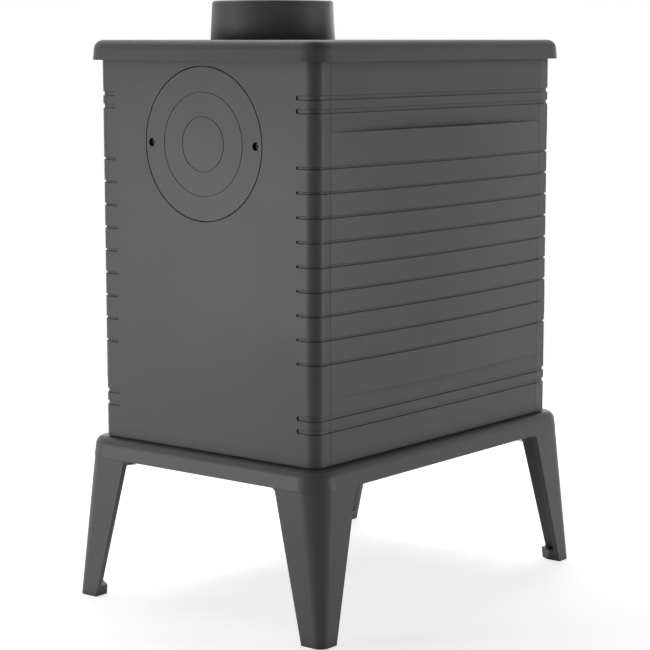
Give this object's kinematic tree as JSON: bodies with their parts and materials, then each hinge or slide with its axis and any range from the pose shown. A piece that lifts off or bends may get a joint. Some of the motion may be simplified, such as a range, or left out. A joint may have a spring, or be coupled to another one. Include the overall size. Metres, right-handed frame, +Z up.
{
  "type": "box stove",
  "caption": "Narrow deep cast-iron wood stove on four splayed legs, with grooved bowed sides, a top flue collar, a blanked rear outlet, a glazed door and an ash drawer.",
  "frame": {"origin": "on the floor, under the middle of the whole stove with its door handle", "axes": "+Z up, -Y towards the door, +X to the right of someone facing the door"},
  "size_m": [0.391, 0.5616, 0.7315],
  "materials": {
    "body_iron": "matt heat-proof paint on cast iron",
    "cover_iron": "matt heat-proof paint on turned cast iron",
    "black_screw": "blackened steel",
    "steel": "zinc-plated steel",
    "raw_iron": "bare cast iron",
    "brick": "pressed vermiculite",
    "glass": "ceramic glass",
    "rope": "braided glass-fibre rope",
    "sheet_steel": "black sheet steel",
    "handle_steel": "satin steel"
  },
  "bodies": {
    "stove": {"base_frame": "body_iron", "leg_rear_right": "body_iron", "leg_rear_left": "body_iron", "leg_front_right": "body_iron", "leg_front_left": "body_iron", "back_plate": "body_iron", "side_panel_right": "body_iron", "side_panel_left": "body_iron", "front_frame": "body_iron", "top_plate": "body_iron", "flue_collar": "body_iron", "flue_bolts": "steel", "flue_cover": "cover_iron", "cover_screws": "black_screw", "tie_rods": "steel", "tie_rod_washers": "steel", "tie_rod_nuts": "steel", "side_brick_right": "brick", "side_brick_left": "brick", "back_brick": "brick", "baffle_plate": "brick", "fire_bed": "raw_iron", "grate": "raw_iron", "log_guard": "raw_iron", "air_deflector": "sheet_steel", "pan_rails": "sheet_steel", "hinge_pins": "steel", "latch_strike": "steel", "slider_guides": "black_screw"},
    "door": {"door_casting": "body_iron", "door_glass": "glass", "glass_gasket": "rope", "glass_retainers": "steel", "retainer_screws": "steel", "door_seal": "rope"},
    "handle": {"door_handle": "handle_steel", "handle_grip": "handle_steel", "latch_cam": "steel", "cam_nut": "steel"},
    "ash_drawer": {"drawer_front": "body_iron", "ash_pan": "sheet_steel", "pan_screws": "steel", "wheel_stud": "handle_steel"},
    "air_wheel": {"air_wheel": "handle_steel"},
    "airwash": {"airwash_slider": "sheet_steel", "airwash_knob": "handle_steel"}
  },
  "joints": [
    {"name": "door_hinge", "type": "hinge", "parent": "stove", "child": "door", "pos_m": [-0.148, -0.23985, 0.456], "axis": [0, 0, -1], "range_deg": [0, 110]},
    {"name": "handle_turn", "type": "hinge", "parent": "door", "child": "handle", "pos_m": [0.114, -0.23985, 0.456], "axis": [0, 1, 0], "range_deg": [0, 90]},
    {"name": "ash_drawer_slide", "type": "slide", "parent": "stove", "child": "ash_drawer", "axis": [0, -1, 0], "range_m": [0, 0.25]},
    {"name": "air_wheel_turn", "type": "hinge", "parent": "ash_drawer", "child": "air_wheel", "pos_m": [0, -0.24615, 0.238], "axis": [0, 1, 0], "range_deg": [0, 60]},
    {"name": "airwash_slide", "type": "slide", "parent": "stove", "child": "airwash", "axis": [1, 0, 0], "range_m": [0, 0.018]}
  ]
}
